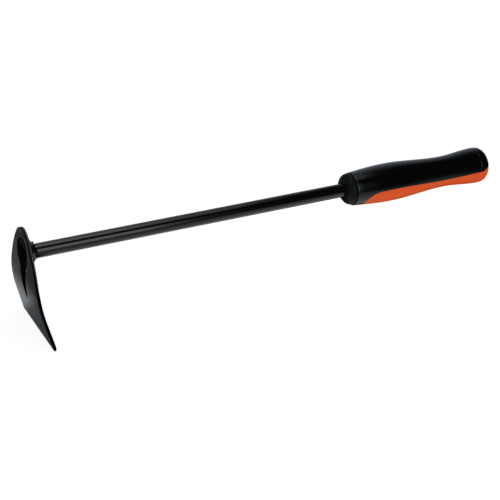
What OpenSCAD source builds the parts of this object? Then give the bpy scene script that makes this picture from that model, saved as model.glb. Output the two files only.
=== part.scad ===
// Draw hoe: a pressed steel blade on a tubular shaft with a two-colour moulded grip.
// The shaft axis is X, the blade is at low X and hangs towards -Z, and the tool is alike on
// both sides of Y = 0. The origin is the middle of the handle, where the palm closes.

/* [Blade plate] */
// Width along the cutting edge
edge_w = 82; // [66:1:110]
// Width across the shoulders, where the straight sides begin
shoulder_w = 72; // [60:1:90]
// Height of the blade's top above the shaft axis
blade_top = 21.3; // [19:0.1:30]
// Depth of the cutting edge below the shaft axis
blade_drop = 69; // [56:1:100]
// Depth of the shoulders below the shaft axis
shoulder_drop = 30; // [24:1:40]
// Radius of the round top
top_r = 18; // [14:0.5:20]
// Radius of the bowed flanks between top and shoulders
flank_r = 87; // [75:1:140]
// Plate thickness
blade_t = 2.6; // [2.2:0.1:3.4]
// Lean of the upper plate, its top towards the handle, in degrees
upper_lean = 2.5; // [0.5:0.5:5]
// Lean of the lower plate, its edge towards the handle, in degrees
lower_lean = 13; // [6:0.5:22]
// Radius of the bend on the front face
bend_r = 115; // [60:5:140]
// Depth of the middle of the bend below the shaft axis
bend_drop = 30; // [26:1:36]
// Length of the ground bevel behind the cutting edge
bevel_l = 3; // [2:0.5:8]
// Thickness left at the cutting edge
edge_t = 1.7; // [0.8:0.1:2.1]

/* [Pressed socket in the blade] */
// Diameter of the socket's mouth on the front face
socket_d = 25.6; // [23:0.2:30]
// Slope of the socket's wall, from the shaft axis, in degrees
socket_slope = 45; // [38:1:52]
// Depth below the shaft axis at which the pressed tail runs out
tail_drop = 38.5; // [32:0.5:46]
// Half width of the tail where it leaves the socket
tail_half_w = 7.3; // [6:0.1:9]
// Depth of the tail where it leaves the socket
tail_depth = 3.2; // [2:0.1:4]
// Radius of the tail's round bottom at its tip
tail_tip_r = 3; // [2:0.1:4]
// Width of the flat ring that the boss leaves round the tube at the back
boss_land = 2.2; // [1.4:0.1:3]

/* [Shaft] */
// Outer diameter of the tube
shaft_d = 12; // [10:0.2:13.4]
// Wall of the tube
shaft_wall = 1.5; // [1:0.1:2.5]
// Distance from the blade's front face to the handle's nose
reach = 291.5; // [150:0.5:600]
// Length of tube inside the handle
shaft_in = 92; // [50:1:125]
// Depth of the flared end's rim below the blade's front face
flare_set = 1.1; // [0.6:0.1:2]
// Diameter of the cross hole that locks the tube in the handle
lock_d = 5; // [3:0.5:6]
// Distance of the cross hole from the tube's hidden end
lock_inset = 14; // [8:1:25]

/* [Welds] */
// Length of the fillet round the tube behind the boss
rear_weld_l = 1.4; // [1:0.1:2.5]
// Weld drops over the fillet
rear_drops = 9; // [5:1:13]
// Radius of a drop on the rear weld
rear_drop_r = 1.4; // [1.1:0.05:1.7]
// Distance of the topmost drop from the boss, along the tube
rear_drop_x = 2.3; // [1.2:0.1:3]
// Half angle over which the rear drops lie, measured from the top, in degrees
rear_weld_half = 112; // [80:1:130]
// Weld drops round the mouth of the flared end
front_drops = 15; // [8:1:20]
// Radius of a drop on the front weld
front_drop_r = 1.25; // [0.9:0.05:1.6]
// Height of the front weld's bead over the flared rim
bead_h = 0.75; // [0.4:0.05:1]
// Height of the front drops' centres over the flared rim
drop_lift = 0.2; // [0:0.05:0.5]
// Half angle of the front weld, measured from the top, in degrees
front_weld_half = 128; // [90:1:140]

/* [Handle] */
// Length of the handle from nose to butt
handle_l = 153; // [130:1:190]
// Length of the domed nose
nose_l = 6.5; // [4:0.5:12]
// Diameter of the nose at its rim
nose_d = 28.2; // [24:0.2:34]
// Diameter of the flat at the nose's tip
tip_d = 14; // [14:0.5:18]
// Width of the groove between nose and grip
groove_w = 1; // [0.5:0.1:2]
// Depth of that groove
groove_depth = 1.2; // [0.4:0.1:1.6]
// Grip diameter at its front edge
collar_d = 29.4; // [27:0.2:34]
// Grip diameter at the front swell
front_d = 34.4; // [31:0.2:40]
// Distance of the front swell from the nose
front_x = 46.5; // [36:0.5:60]
// Grip diameter at the waist
waist_d = 28; // [26:0.2:32]
// Distance of the waist from the nose
waist_x = 105; // [88:0.5:115]
// Grip diameter at the rear swell
rear_d = 32.8; // [30:0.2:40]
// Length of the domed butt behind the rear swell
butt_l = 11; // [7:0.5:16]
// Squareness of the butt, 2 is an ellipse
butt_power = 2.9; // [2:0.1:4]
// Thickness of the soft grip over the core
grip_t = 3; // [2:0.1:4]
// Drop of the grip's own axis below the shaft axis, at its front
grip_drop = 0.4; // [0:0.1:1]
// Droop of the grip's axis towards the butt, in degrees
grip_droop = 0.2; // [0:0.05:0.5]

/* [Two-colour line] */
// Depth of the colour line below the axis at the swells
line_drop = 0.9; // [0.5:0.1:5]
// How much of the waist's narrowing the line follows
line_follow = 0.9; // [0:0.01:1.2]
// Rise of the line over the butt
line_butt_rise = 5.2; // [0:0.1:6]
// Distance from the nose at which the lower grip's tongue begins
tongue_x = 15; // [12:0.5:24]
// Length of the tongue's round front
tongue_l = 17; // [10:0.5:22]

/* [Fits] */
// Gap between the tube and what it sits in
shaft_fit = 0.05; // [0.02:0.01:0.1]
// Gap between moulded layers
mould_gap = 0.05; // [0.02:0.01:0.15]

/* [Hidden] */
$fn = 120;
shaft_r = shaft_d / 2;
bore_r = shaft_r - shaft_wall;
socket_r = socket_d / 2;
nose_x = -handle_l / 2;
blade_x = nose_x - reach;
rear_x = handle_l - butt_l;
grip_x = nose_l + groove_w;
// Reach of cutting blocks that run well past the blade
clear = 2 * edge_w;
// Overlap of cutting tools that start just outside a piece
over = 1;
// Rounding of the grip's front edge
edge_round = 0.6;
// Steps along one swell of the handle and along one arc
profile_steps = 12;
arc_steps = 14;

// Socket and flared tube: one family of cones about the shaft axis
slope_t = tan(socket_slope);
slope_c = cos(socket_slope);
boss_r0 = socket_r + blade_t / slope_c;
boss_r1 = shaft_r + boss_land;
boss_l = (boss_r0 - boss_r1) / slope_t;
flare_line = socket_r - shaft_fit / slope_c;
flare_in_line = flare_line - shaft_wall / slope_c;
shaft_front_l = reach + shaft_in;

// Bend of the plate: the two front lines meet at the apex and the arc is tangent to both
apex = [-bend_drop * tan(upper_lean), -bend_drop];
bend_run = bend_r * tan((upper_lean + lower_lean) / 2);
bend_top = apex + bend_run * [sin(upper_lean), cos(upper_lean)];
bend_end = apex + bend_run * [sin(lower_lean), -cos(lower_lean)];
bend_c = bend_top + bend_r * [cos(upper_lean), -sin(upper_lean)];
lower_l = (bend_end[1] + blade_drop) / cos(lower_lean);

function mix(a, b, t) = a + (b - a) * t;
function ease(t) = (1 - cos(180 * t)) / 2;
function unit(v) = v / norm(v);
function arc(c, r, a0, a1, n) =
    [for (i = [0:n]) let (a = mix(a0, a1, i / n)) c + r * [cos(a), sin(a)]];
// Side view of the plate's surface at a depth behind its front face, from above the top downwards
function sheet_line(depth) = concat(
    [bend_top + depth * [cos(upper_lean), -sin(upper_lean)] + clear * [sin(upper_lean), cos(upper_lean)]],
    arc(bend_c, bend_r - depth, 180 - upper_lean, 180 + lower_lean, arc_steps),
    [bend_end + depth * [cos(lower_lean), sin(lower_lean)] + clear * [sin(lower_lean), -cos(lower_lean)]]);
// Front face of the plate in the side view, as x at a height z in the bend or above it
function front_at(z) = z > bend_top[1]
    ? z * tan(upper_lean)
    : bend_c[0] - sqrt(pow(bend_r, 2) - pow(z - bend_c[1], 2));

// Grip radius at a distance x from the nose, up to the rear swell
function grip_r(x) =
    x < front_x ? mix(collar_d, front_d, sin(90 * (x - grip_x) / (front_x - grip_x))) / 2
    : x < waist_x ? mix(front_d, waist_d, ease((x - front_x) / (waist_x - front_x))) / 2
    : mix(waist_d, rear_d, ease((x - waist_x) / (rear_x - waist_x))) / 2;
grip_stations = concat(
    [for (i = [1:profile_steps]) mix(grip_x + edge_round, front_x, i / profile_steps)],
    [for (i = [1:profile_steps]) mix(front_x, waist_x, i / profile_steps)],
    [for (i = [1:profile_steps - 1]) mix(waist_x, rear_x, i / profile_steps)]);
// Side profile as [radius, x] points, inset from the grip's surface, from front edge to butt
function grip_profile(inset) = concat(
    [[grip_r(grip_x) - edge_round - inset, grip_x],
        [grip_r(grip_x + edge_round) - inset, grip_x + edge_round]],
    [for (x = grip_stations) [grip_r(x) - inset, x]],
    [for (i = [0:profile_steps]) let (a = 90 * i / profile_steps)
        [(rear_d / 2 - inset) * cos(a), rear_x + (butt_l - inset) * pow(sin(a), 2 / butt_power)]]);
// Height of the colour line: it keeps below the axis, sinks with the waist and lifts at the butt
function line_z(x) = x > rear_x
    ? line_z(rear_x) + line_butt_rise * (x - rear_x) / butt_l
    : -line_drop - line_follow * (front_d / 2 - grip_r(x));

module at_blade() { translate([blade_x, 0, 0]) children(); }
module at_nose() { translate([nose_x, 0, 0]) children(); }
// Turns a shape made about +Z so that it stands about +X
module about_x() { rotate([0, 90, 0]) children(); }
// Turns a side view drawn in x and z into a slab across the tool
module across(w) { translate([0, w / 2, 0]) rotate([90, 0, 0]) linear_extrude(w) children(); }

// Plan of the blade, drawn as [y, z]: round top, bowed flanks, straight flared sides
module blade_plan() {
    top_c = [0, blade_top - top_r];
    shoulder = [shoulder_w / 2, -shoulder_drop];
    corner = [edge_w / 2, -blade_drop];
    side = unit(corner - shoulder);
    inward = [side[1], -side[0]];
    off = shoulder + inward * flank_r - top_c;
    slide = -(off * side) + sqrt(pow(off * side, 2) - off * off + pow(flank_r - top_r, 2));
    flank_c = top_c + off + side * slide;
    join_a = atan2(top_c[1] - flank_c[1], top_c[0] - flank_c[0]);
    side_a = atan2(-inward[1], -inward[0]);
    half = concat(arc(top_c, top_r, 90, join_a, arc_steps),
        arc(flank_c, flank_r, join_a, side_a, arc_steps), [corner]);
    last = len(half) - 1;
    polygon(concat(half, [for (i = [last:-1:1]) [-half[i][0], half[i][1]]]));
}

// Bent sheet between two depths behind the front face: upper plate, bend and lower plate
module bent_sheet(near, far) {
    back = sheet_line(far);
    across(clear) polygon(concat(sheet_line(near), [for (i = [len(back) - 1:-1:0]) back[i]]));
}

// Tapering round tool that presses the tail: it leaves the face at the tip and sinks to the socket
module tail_cone() {
    start_z = -sqrt(pow(socket_r, 2) - pow(tail_half_w, 2));
    start_r = (pow(tail_half_w, 2) + pow(tail_depth, 2)) / (2 * tail_depth);
    tip = [front_at(-tail_drop) - tail_tip_r, -tail_drop];
    start = [front_at(start_z) + tail_depth - start_r, start_z];
    run = norm(start - tip);
    grow = (start_r - tail_tip_r) / run;
    thin_r = tail_tip_r / 2;
    lead = thin_r / grow;
    length = lead + run - start_z - shaft_r;
    translate([tip[0], 0, tip[1]]) rotate([0, atan2(start[0] - tip[0], start[1] - tip[1]), 0])
        translate([0, 0, -lead]) cylinder(h = length, r1 = thin_r, r2 = thin_r + length * grow);
}

// Wedge that grinds the back of the lower plate down to the cutting edge
module bevel_cut() {
    translate([bend_end[0], 0, bend_end[1]]) rotate([0, -lower_lean, 0]) across(clear)
        polygon([[blade_t, bevel_l - lower_l], [edge_t, -lower_l], [edge_t, -lower_l - blade_t],
            [2 * blade_t, -lower_l - blade_t], [2 * blade_t, bevel_l - lower_l]]);
}

// Pressed plate: bent, drawn back into a conical boss with a tapering tail, ground at the edge
module blade() {
    color("#2b2c2e") at_blade() difference() {
        intersection() {
            union() {
                bent_sheet(0, blade_t);
                intersection() {
                    bent_sheet(blade_t / 2, socket_d);
                    union() {
                        about_x() translate([0, 0, -boss_l])
                            cylinder(h = 2 * boss_l, r1 = boss_r0 + boss_l * slope_t, r2 = boss_r1);
                        translate([blade_t, 0, 0]) tail_cone();
                    }
                }
            }
            rotate([90, 0, 90]) translate([0, 0, -clear / 2]) linear_extrude(clear) blade_plan();
        }
        about_x() socket_space();
        about_x() cylinder(h = clear, r = shaft_r + shaft_fit);
        tail_cone();
        bevel_cut();
    }
}

// Space of the socket about +Z, from well in front of the face to where it meets the tube
module socket_space() {
    depth = (socket_r - shaft_r) / slope_t;
    translate([0, 0, -depth]) cylinder(h = 2 * depth, r1 = socket_r + depth * slope_t, r2 = shaft_r);
}

// Tube with its front end flared into the socket and a cross hole near its hidden end
module shaft() {
    flare_knee = (flare_line - shaft_r) / slope_t;
    bore_knee = (flare_in_line - bore_r) / slope_t;
    color("#17181a") difference() {
        at_blade() about_x() rotate_extrude() polygon([
            [flare_line - flare_set * slope_t, flare_set], [shaft_r, flare_knee],
            [shaft_r, shaft_front_l], [bore_r, shaft_front_l],
            [bore_r, bore_knee], [flare_in_line - flare_set * slope_t, flare_set]]);
        at_nose() translate([shaft_in - lock_inset, 0, -shaft_d]) cylinder(h = 2 * shaft_d, r = lock_d / 2);
    }
}

// Fillet of weld metal between the boss and the tube, with overlapping drops that reach farthest on top
module rear_weld() {
    color("#101112") at_blade() translate([boss_l, 0, 0]) about_x() difference() {
        union() {
            rotate_extrude() polygon([[shaft_r, 0], [boss_r1, 0], [shaft_r, rear_weld_l]]);
            for (i = [0:rear_drops - 1]) {
                from_top = rear_weld_half * (2 * i / (rear_drops - 1) - 1);
                lie_x = mix(rear_weld_l / 3, rear_drop_x, ease(1 - abs(from_top) / rear_weld_half));
                rotate([0, 0, 180 + from_top])
                    translate([shaft_r + boss_land / 3, 0, lie_x]) sphere(r = rear_drop_r);
            }
        }
        translate([0, 0, -clear]) cylinder(h = clear, r = clear);
        translate([0, 0, -over]) cylinder(h = clear, r = shaft_r);
    }
}

// Bead that joins the flared rim to the socket's wall, open below where the tail leaves
module front_weld() {
    rim_r = flare_line - flare_set * slope_t;
    rim_in = flare_in_line - flare_set * slope_t;
    mid_r = (rim_r + rim_in) / 2;
    color("#1c1d1f") at_blade() intersection() {
        about_x() difference() {
            union() {
                rotate([0, 0, 180 - front_weld_half]) rotate_extrude(angle = 2 * front_weld_half)
                    polygon([[rim_in, flare_set], [rim_r, flare_set], [rim_r, flare_set - bead_h]]);
                for (i = [0:front_drops - 1])
                    rotate([0, 0, 180 + front_weld_half * (2 * i / (front_drops - 1) - 1)])
                        translate([mid_r, 0, flare_set - drop_lift]) sphere(r = front_drop_r);
            }
            translate([0, 0, flare_set]) cylinder(h = clear, r = clear);
        }
        about_x() socket_space();
    }
}

// Hard core moulded on the tube: the nose shows, the rest lies under the grip
module handle_core() {
    nose_r = nose_d / 2;
    neck_r = nose_r - groove_depth;
    under = grip_t + mould_gap;
    tip_r = tip_d / 2;
    nose = [for (i = [0:arc_steps]) let (a = 90 * i / arc_steps)
        [mix(tip_r, nose_r, sin(a)), nose_l * (1 - cos(a))]];
    neck = [[neck_r, nose_l], [neck_r, grip_x - mould_gap]];
    body = grip_profile(under);
    color("#202225") at_nose() {
        difference() {
            about_x() rotate_extrude() polygon(concat([[0, 0]], nose, neck,
                [[body[1][0], grip_x - mould_gap]], [for (i = [1:len(body) - 1]) body[i]]));
            about_x() translate([0, 0, -over]) cylinder(h = over + shaft_in, r = shaft_r + shaft_fit);
        }
        translate([shaft_in - lock_inset, 0, -shaft_r - grip_t / 2])
            cylinder(h = shaft_d + grip_t, r = lock_d / 2 - shaft_fit);
    }
}

// Soft layer over the whole core, from the groove round the butt, on an axis that droops to the rear
module grip_shell() {
    inside = grip_profile(grip_t);
    difference() {
        translate([0, 0, -grip_drop]) rotate([0, grip_droop, 0]) about_x() rotate_extrude()
            polygon(concat([[0, grip_x]], grip_profile(0)));
        about_x() rotate_extrude() polygon(concat([[0, grip_x - over], [inside[1][0], grip_x - over]],
            [for (i = [1:len(inside) - 1]) inside[i]]));
    }
}

// Space below the colour line: a round-fronted tongue, then the line to past the butt
module below_line(gap) {
    peak_x = tongue_x + tongue_l;
    deep = -front_d;
    front_z = line_z(peak_x);
    base_z = -grip_r(tongue_x);
    tongue = [for (i = [0:arc_steps]) let (a = 90 * i / arc_steps)
        [peak_x - (tongue_l - gap) * cos(a), mix(base_z, front_z - gap, sin(a))]];
    line = [for (x = grip_stations) if (x > peak_x) [x, line_z(x) - gap]];
    end_x = handle_l + over;
    butt = [for (x = [rear_x, end_x]) [x, line_z(x) - gap]];
    across(2 * front_d) polygon(concat([[tongue_x + gap, deep]], tongue, line, butt, [[end_x, deep]]));
}

// Black upper grip, which closes round the nose end and holds the lower grip's tongue
module upper_grip() {
    color("#1b1d20") at_nose() difference() {
        grip_shell();
        below_line(0);
    }
}

// Orange lower grip, which fills the belly of the handle from the tongue to the butt
module lower_grip() {
    color("#d2532a") at_nose() intersection() {
        grip_shell();
        below_line(mould_gap);
    }
}

blade();
shaft();
rear_weld();
front_weld();
handle_core();
upper_grip();
lower_grip();
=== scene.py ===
import math

import bpy
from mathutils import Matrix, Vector


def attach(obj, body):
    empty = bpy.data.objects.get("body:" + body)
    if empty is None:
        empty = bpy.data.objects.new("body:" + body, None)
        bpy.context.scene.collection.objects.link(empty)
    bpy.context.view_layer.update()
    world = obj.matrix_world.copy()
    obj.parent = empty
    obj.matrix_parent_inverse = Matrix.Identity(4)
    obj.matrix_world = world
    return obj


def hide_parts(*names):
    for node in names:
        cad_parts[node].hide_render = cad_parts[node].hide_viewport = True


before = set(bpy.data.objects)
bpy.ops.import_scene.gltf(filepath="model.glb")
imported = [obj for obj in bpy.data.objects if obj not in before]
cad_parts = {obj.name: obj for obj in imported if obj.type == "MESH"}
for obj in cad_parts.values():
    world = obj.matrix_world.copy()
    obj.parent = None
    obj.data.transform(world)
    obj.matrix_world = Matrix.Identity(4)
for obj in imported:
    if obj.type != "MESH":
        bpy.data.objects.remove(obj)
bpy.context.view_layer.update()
mm = 0.001  # a millimetre in Blender's metres
mergeReach = 0.004  # in mm, as all sizes of the pieces are
handleLength = 153.0
bareTube = 291.5  # from the blade's front face to the handle's nose, on the shaft axis
noseX = -handleLength / 2
bladeX = noseX - bareTube
print("stage: frame loaded with", len(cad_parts), "nodes")


def deselectAll():
    if bpy.context.object is not None and bpy.context.object.mode != "OBJECT":
        bpy.ops.object.mode_set(mode="OBJECT")
    bpy.ops.object.select_all(action="DESELECT")


def pick(obj):
    deselectAll()
    obj.select_set(True)
    bpy.context.view_layer.objects.active = obj


def mix(a, b, t):
    return a + (b - a) * t


def addModifier(obj, kind, **values):
    modifier = obj.modifiers.new(kind.lower(), kind)
    for key, value in values.items():
        setattr(modifier, key, value)
    pick(obj)
    bpy.ops.object.modifier_apply(modifier=modifier.name)


# Merges what touches and turns the faces outwards
def closeUp(obj):
    pick(obj)
    bpy.ops.object.mode_set(mode="EDIT")
    bpy.ops.mesh.select_all(action="SELECT")
    bpy.ops.mesh.remove_doubles(threshold=mergeReach * mm)
    bpy.ops.mesh.dissolve_degenerate(threshold=mergeReach * mm)
    bpy.ops.mesh.select_all(action="SELECT")
    bpy.ops.mesh.normals_make_consistent(inside=False)
    bpy.ops.object.mode_set(mode="OBJECT")


def smooth(obj, degrees):
    pick(obj)
    bpy.ops.object.shade_smooth_by_angle(angle=math.radians(degrees))


# Draws a side profile point by point in x and radius, then spins it about the shaft axis
def turnProfile(name, profile, steps, sweep=360.0):
    deselectAll()
    bpy.ops.mesh.primitive_plane_add(size=mm)
    obj = bpy.context.object
    obj.name = name
    obj.data.name = name
    bpy.ops.object.mode_set(mode="EDIT")
    bpy.ops.mesh.select_all(action="SELECT")
    bpy.ops.mesh.merge(type="CENTER")
    x, r = profile[0]
    bpy.ops.transform.translate(value=(x * mm, 0, r * mm))
    for nextX, nextR in profile[1:]:
        step = ((nextX - x) * mm, 0, (nextR - r) * mm)
        bpy.ops.mesh.extrude_vertices_move(TRANSFORM_OT_translate={"value": step})
        x, r = nextX, nextR
    bpy.ops.mesh.select_all(action="SELECT")
    bpy.ops.mesh.spin(steps=steps, angle=math.radians(sweep), center=(0, 0, 0), axis=(1, 0, 0))
    bpy.ops.object.mode_set(mode="OBJECT")
    return obj


def arcPoints(centre, radius, start, end, count):
    points = []
    for i in range(count + 1):
        a = math.radians(mix(start, end, i / count))
        points.append((centre[0] + radius * math.cos(a), centre[1] + radius * math.sin(a)))
    return points


# Pressed blade: rings round the socket out to the plan, pressed to depth, given their thickness
blade = {
    "edgeWidth": 82.0,
    "shoulderWidth": 72.0,
    "top": 21.3,
    "drop": 69.0,
    "shoulderDrop": 30.0,
    "topRadius": 18.0,
    "flankRadius": 87.0,
    "thickness": 2.6,
    "upperLean": 2.5,
    "lowerLean": 13.0,
    "bendRadius": 115.0,
    "bendDrop": 30.0,
    "bevelLength": 3.0,
    "edgeThickness": 1.7,
    "holeRadius": 6.05,
    "socketRadius": 11.5,
    "socketSlope": 38.9,
    "rimRound": 4.0,
    "tailDrop": 38.5,
    "tailHalfWidth": 7.9,
    "tailDepth": 3.2,
    "tailTipRadius": 3.0,
    "tailRound": 0.9,
    "tailTop": -5.0,
    "innerReach": 18.0,
    "innerRings": 44,
    "outerRings": 46,
    "curveColumns": 64,
    "sideColumns": 26,
    "edgeColumns": 40,
    "topArcSteps": 60,
    "flankArcSteps": 90,
    "edgeSplit": (1.2, 2.2),  # how deep the cut edge parts, at splitFrom and at stripEnd
    "splitFrom": 10.0,
    "stripEnd": -22.0,
    "edgeFacing": 0.5,  # most that a face of the cut edge turns to the front or back
    "shadeFrom": 0.17,
    "shadeFacing": 0.05,  # most that a face with painted shade turns to the back
    "smoothAngle": 35.0,
}
noTail = -100.0  # a depth far ahead of the sheet, so that the sheet's own depth counts


# Outline in y and height, from the top round one side and back round the other, its arcs without a corner
def bladePlan(b):
    topC = Vector((0.0, b["top"] - b["topRadius"]))
    shoulder = Vector((b["shoulderWidth"] / 2, -b["shoulderDrop"]))
    corner = Vector((b["edgeWidth"] / 2, -b["drop"]))
    side = (corner - shoulder).normalized()
    inward = Vector((side.y, -side.x))
    off = shoulder + inward * b["flankRadius"] - topC
    along = off.dot(side)
    slide = math.sqrt(along ** 2 - off.dot(off) + (b["flankRadius"] - b["topRadius"]) ** 2) - along
    flankC = topC + off + side * slide
    lean = topC - flankC
    joinA = math.degrees(math.atan2(lean.y, lean.x))
    sideA = math.degrees(math.atan2(-inward.y, -inward.x))
    curve = arcPoints(topC, b["topRadius"], 90, joinA, b["topArcSteps"])
    curve += arcPoints(flankC, b["flankRadius"], joinA, sideA, b["flankArcSteps"])[1:]
    half = evenSpread(curve, b["curveColumns"])
    half += evenSpread([curve[-1], tuple(corner)], b["sideColumns"])[1:]
    half += evenSpread([tuple(corner), (0.0, -b["drop"])], b["edgeColumns"])[1:]
    return half + [(-y, z) for y, z in reversed(half[1:-1])]


# Spreads a given number of steps evenly along a chain of points
def evenSpread(chain, count):
    lengths = [0.0]
    for (y0, z0), (y1, z1) in zip(chain, chain[1:]):
        lengths.append(lengths[-1] + math.hypot(y1 - y0, z1 - z0))
    points = []
    k = 0
    for i in range(count + 1):
        target = lengths[-1] * i / count
        while k < len(chain) - 2 and lengths[k + 1] < target:
            k += 1
        t = (target - lengths[k]) / (lengths[k + 1] - lengths[k])
        points.append((mix(chain[k][0], chain[k + 1][0], t), mix(chain[k][1], chain[k + 1][1], t)))
    return points


# Where the bend starts and ends on the front face, and the centre of its arc, as x and height
def bendLine(b):
    upper = math.radians(b["upperLean"])
    lower = math.radians(b["lowerLean"])
    run = b["bendRadius"] * math.tan((upper + lower) / 2)
    apex = Vector((-b["bendDrop"] * math.tan(upper), -b["bendDrop"]))
    bendTop = apex + run * Vector((math.sin(upper), math.cos(upper)))
    bendEnd = apex + run * Vector((math.sin(lower), -math.cos(lower)))
    centre = bendTop + b["bendRadius"] * Vector((math.cos(upper), -math.sin(upper)))
    return bendTop, bendEnd, centre


# How far the front face of the bent sheet lies behind its place on the axis, at a height
def faceDepth(b, z):
    bendTop, bendEnd, centre = bendLine(b)
    if z > bendTop.y:
        return z * math.tan(math.radians(b["upperLean"]))
    if z > bendEnd.y:
        return centre.x - math.sqrt(b["bendRadius"] ** 2 - (z - centre.y) ** 2)
    return bendEnd.x + (bendEnd.y - z) * math.tan(math.radians(b["lowerLean"]))


# The greater of two depths, blended where they are close
def roundMax(a, b, size):
    h = max(size - abs(a - b), 0.0) / size
    return max(a, b) + h * h * size / 4


def tailDepthAt(b, y, z):
    if z > b["tailTop"]:
        return noTail
    startZ = -math.sqrt(b["socketRadius"] ** 2 - b["tailHalfWidth"] ** 2)
    startR = (b["tailHalfWidth"] ** 2 + b["tailDepth"] ** 2) / (2 * b["tailDepth"])
    tipX = faceDepth(b, -b["tailDrop"]) - b["tailTipRadius"]
    startX = faceDepth(b, startZ) + b["tailDepth"] - startR
    t = (z + b["tailDrop"]) / (startZ + b["tailDrop"])
    radius = mix(b["tailTipRadius"], startR, t)
    if radius <= abs(y):
        return noTail
    return mix(tipX, startX, t) + math.sqrt(radius ** 2 - y ** 2)


def pressedDepth(b, y, z):
    r = math.hypot(y, z)
    cone = (b["socketRadius"] - r) / math.tan(math.radians(b["socketSlope"]))
    depth = roundMax(faceDepth(b, z), cone, b["rimRound"])
    return roundMax(depth, tailDepthAt(b, y, z), b["tailRound"])


def makeBlade(b):
    plan = bladePlan(b)
    columns = len(plan)
    rings = b["innerRings"] + b["outerRings"]
    deselectAll()
    bpy.ops.mesh.primitive_circle_add(vertices=columns, radius=1.0, fill_type="NOTHING")
    obj = bpy.context.object
    obj.name = "bladePlate"
    obj.data.name = "bladePlate"
    bpy.ops.object.mode_set(mode="EDIT")
    bpy.ops.mesh.select_all(action="SELECT")
    # Rings at radius 1, 2, 3 and so on, so that each vertex tells its ring and column
    for ring in range(1, rings + 1):
        bpy.ops.mesh.extrude_edges_move()
        grow = (ring + 1) / ring
        bpy.ops.transform.resize(value=(grow, grow, 1), center_override=(0, 0, 0))
    bpy.ops.object.mode_set(mode="OBJECT")
    for vertex in obj.data.vertices:
        ring = round(math.hypot(vertex.co.x, vertex.co.y)) - 1
        column = round(math.atan2(vertex.co.x, vertex.co.y) / (2 * math.pi) * columns) % columns
        edge = Vector(plan[column])
        if ring <= b["innerRings"]:
            reach = mix(b["holeRadius"], b["innerReach"], ring / b["innerRings"])
        else:
            reach = mix(b["innerReach"], edge.length, (ring - b["innerRings"]) / b["outerRings"])
        y, z = edge.normalized() * reach
        vertex.co = Vector((bladeX + pressedDepth(b, y, z), y, z)) * mm
    closeUp(obj)
    if obj.data.polygons[0].normal.x > 0:
        bpy.ops.object.mode_set(mode="EDIT")
        bpy.ops.mesh.flip_normals()
        bpy.ops.object.mode_set(mode="OBJECT")
    front = len(obj.data.vertices)
    rim = outerRim(obj, b["innerReach"])
    addModifier(obj, "SOLIDIFY", thickness=b["thickness"] * mm, offset=-1.0, use_even_offset=True)
    grindEdge(b, obj, front)
    splitEdge(b, obj, rim, front)
    smooth(obj, b["smoothAngle"])
    return obj


# Vertices of the open sheet's outer border
def outerRim(obj, reach):
    uses = {}
    for face in obj.data.polygons:
        for key in face.edge_keys:
            uses[key] = uses.get(key, 0) + 1
    border = {index for key, count in uses.items() if count == 1 for index in key}
    vertices = obj.data.vertices
    return {i for i in border if math.hypot(vertices[i].co.y, vertices[i].co.z) > reach * mm}


# Grinds the back of the lower plate down to the cutting edge
def grindEdge(b, obj, front):
    lower = math.radians(b["lowerLean"])
    backward = Vector((math.cos(lower), 0, math.sin(lower)))
    for vertex in obj.data.vertices[front:2 * front]:
        z = vertex.co.z / mm
        lift = (z + b["drop"]) / math.cos(lower)
        if lift < b["bevelLength"]:
            keep = mix(b["edgeThickness"], b["thickness"], max(lift, 0.0) / b["bevelLength"])
            vertex.co -= backward * (b["thickness"] - keep) * mm


# How far behind the front face the cut edge parts at a height, further lower down
def splitAt(b, z):
    share = (b["splitFrom"] - z) / (b["splitFrom"] - b["stripEnd"])
    return mix(*b["edgeSplit"], min(max(share, 0.0), 1.0))


# Parts the cut edge of the sheet into a front and a back strip
def splitEdge(b, obj, rim, front):
    pick(obj)
    bpy.ops.object.mode_set(mode="EDIT")
    bpy.ops.mesh.select_mode(type="EDGE")
    bpy.ops.mesh.select_all(action="DESELECT")
    bpy.ops.object.mode_set(mode="OBJECT")
    for edge in obj.data.edges:
        low, high = sorted(edge.vertices)
        edge.select = low in rim and high == low + front
    bpy.ops.object.mode_set(mode="EDIT")
    bpy.ops.mesh.subdivide(number_cuts=1)
    bpy.ops.mesh.select_mode(type="VERT")
    bpy.ops.object.mode_set(mode="OBJECT")
    for vertex in obj.data.vertices[2 * front:]:
        vertex.co.x += (splitAt(b, vertex.co.z / mm) - b["thickness"] / 2) * mm


bladePlate = makeBlade(blade)
print("stage: blade", len(bladePlate.data.vertices), "vertices")

# Tube: flared at the front, straight to its hidden end in the handle
tube = {
    "radius": 6.0,
    "wall": 1.5,
    "inHandle": 92.0,
    "lipSet": 1.1,
    "lipRound": 0.4,
    "seatGap": 0.05,
    "kneeRound": 2.5,
    "kneeSteps": 6,
    "steps": 96,
    "smoothAngle": 40.0,
}


# Rounds the corner at b between a and c with a few points
def roundCorner(a, b, c, size, count=3):
    a, b, c = Vector(a), Vector(b), Vector(c)
    start = b + (a - b).normalized() * size
    end = b + (c - b).normalized() * size
    points = []
    for i in range(count + 1):
        t = i / count
        points.append(tuple(start * (1 - t) ** 2 + b * 2 * t * (1 - t) + end * t ** 2))
    return points


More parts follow.
